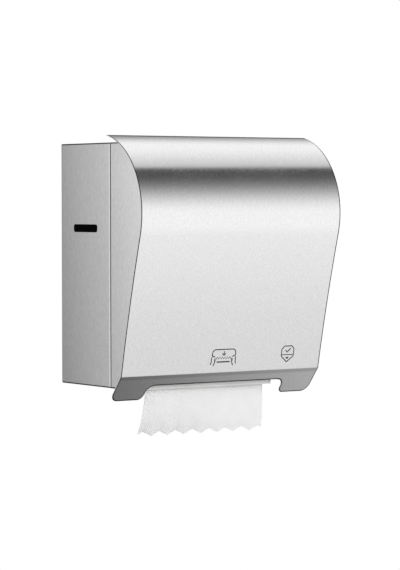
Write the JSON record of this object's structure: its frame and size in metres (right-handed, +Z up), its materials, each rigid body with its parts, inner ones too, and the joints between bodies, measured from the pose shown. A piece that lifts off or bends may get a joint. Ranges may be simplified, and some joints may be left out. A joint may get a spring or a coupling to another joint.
{
  "type": "towel dispenser",
  "caption": "Wall-mounted steel autocut paper towel dispenser: box casing, hinged S-shaped front cover, roll on swing arms, feed drum with a knife, pinch roller, cam lock",
  "frame": {"origin": "centre of the pattern of four wall screws, on the back face of the casing", "axes": "+X to the right as seen from the front, +Y into the wall, +Z up"},
  "size_m": [0.33, 0.203, 0.4102],
  "materials": {
    "brushed_steel": "satin",
    "bright_steel": "satin",
    "light_grey_plastic": "satin",
    "dark_grey_plastic": "satin",
    "smoked_plastic": "gloss",
    "rubber": "matte",
    "towel_roll": "matte",
    "paper": "matte",
    "cardboard": "matte"
  },
  "bodies": {
    "housing": {"casing": "brushed_steel", "level_window": "smoked_plastic", "hinge_leaves_fixed": "bright_steel", "hinge_pins": "bright_steel", "lock_barrel": "bright_steel", "lock_nut": "bright_steel", "side_plate_left": "light_grey_plastic", "side_plate_right": "light_grey_plastic", "plate_screws": "bright_steel", "rear_tray": "light_grey_plastic", "front_guide": "light_grey_plastic", "shaft_bushes": "dark_grey_plastic", "spring_case": "dark_grey_plastic", "spring_case_lid": "dark_grey_plastic", "cam_track": "dark_grey_plastic", "roll_bracket_left": "bright_steel", "roll_bracket_right": "bright_steel", "roll_arm_pins": "bright_steel", "paper_web": "paper", "towel": "paper"},
    "cover": {"cover_skin": "brushed_steel", "cover_cheek_left": "brushed_steel", "cover_cheek_right": "brushed_steel", "hinge_leaves_cover": "bright_steel", "lock_striker": "bright_steel"},
    "lock": {"lock_plug": "bright_steel", "lock_cam": "bright_steel"},
    "drum": {"drum_shell": "dark_grey_plastic", "drum_grip_bands": "rubber", "drum_end_left": "dark_grey_plastic", "drum_end_right": "dark_grey_plastic", "feed_wheel": "dark_grey_plastic"},
    "knife": {"knife_carrier": "dark_grey_plastic", "knife_blade": "bright_steel", "knife_arm": "dark_grey_plastic"},
    "pinch_frame": {"pinch_frame": "light_grey_plastic"},
    "pinch_roller": {"pinch_shaft": "bright_steel", "pinch_rollers": "rubber"},
    "roll": {"paper_roll": "towel_roll", "core_tube": "cardboard"},
    "roll_arm_left": {"roll_arm_left": "light_grey_plastic", "roll_hub_left": "dark_grey_plastic"},
    "roll_arm_right": {"roll_arm_right": "light_grey_plastic", "roll_hub_right": "dark_grey_plastic"}
  },
  "joints": [
    {"name": "cover_hinge", "type": "hinge", "parent": "housing", "child": "cover", "pos_m": [0, -0.11702, 0.1693], "axis": [-1, 0, 0], "range_deg": [0, 95]},
    {"name": "lock_turn", "type": "hinge", "parent": "housing", "child": "lock", "pos_m": [0.136, -0.109, -0.1615], "axis": [0, 0, 1], "range_deg": [0, 90]},
    {"name": "drum_spin", "type": "hinge", "parent": "housing", "child": "drum", "pos_m": [0, -0.076, -0.1085], "axis": [1, 0, 0], "continuous": true},
    {"name": "knife_pivot", "type": "hinge", "parent": "drum", "child": "knife", "pos_m": [0, -0.062, -0.1305], "axis": [-1, 0, 0], "range_deg": [-40, 0], "stiffness_Nm_per_rad": 0.05, "springref_deg": 57.3},
    {"name": "pinch_lift", "type": "hinge", "parent": "housing", "child": "pinch_frame", "pos_m": [0, -0.022, -0.0645], "axis": [-1, 0, 0], "range_deg": [0, 8], "stiffness_Nm_per_rad": 0.3, "springref_deg": -28.65},
    {"name": "pinch_roller_spin", "type": "hinge", "parent": "pinch_frame", "child": "pinch_roller", "pos_m": [0, -0.0445, -0.07096], "axis": [1, 0, 0], "continuous": true},
    {"name": "roll_spin", "type": "hinge", "parent": "housing", "child": "roll", "pos_m": [0, -0.098, 0.0655], "axis": [1, 0, 0], "continuous": true},
    {"name": "roll_arm_left_swing", "type": "hinge", "parent": "housing", "child": "roll_arm_left", "pos_m": [-0.112, -0.011, 0.0655], "axis": [0, 0, -1], "range_deg": [0, 20], "stiffness_Nm_per_rad": 0.3, "springref_deg": -17.19},
    {"name": "roll_arm_right_swing", "type": "hinge", "parent": "housing", "child": "roll_arm_right", "pos_m": [0.112, -0.011, 0.0655], "axis": [0, 0, 1], "range_deg": [0, 20], "stiffness_Nm_per_rad": 0.3, "springref_deg": -17.19}
  ],
  "couplings": [
    {"joint": "roll_spin", "follows": "drum_spin", "ratio": -0.44444},
    {"joint": "pinch_roller_spin", "follows": "drum_spin", "ratio": -5}
  ]
}
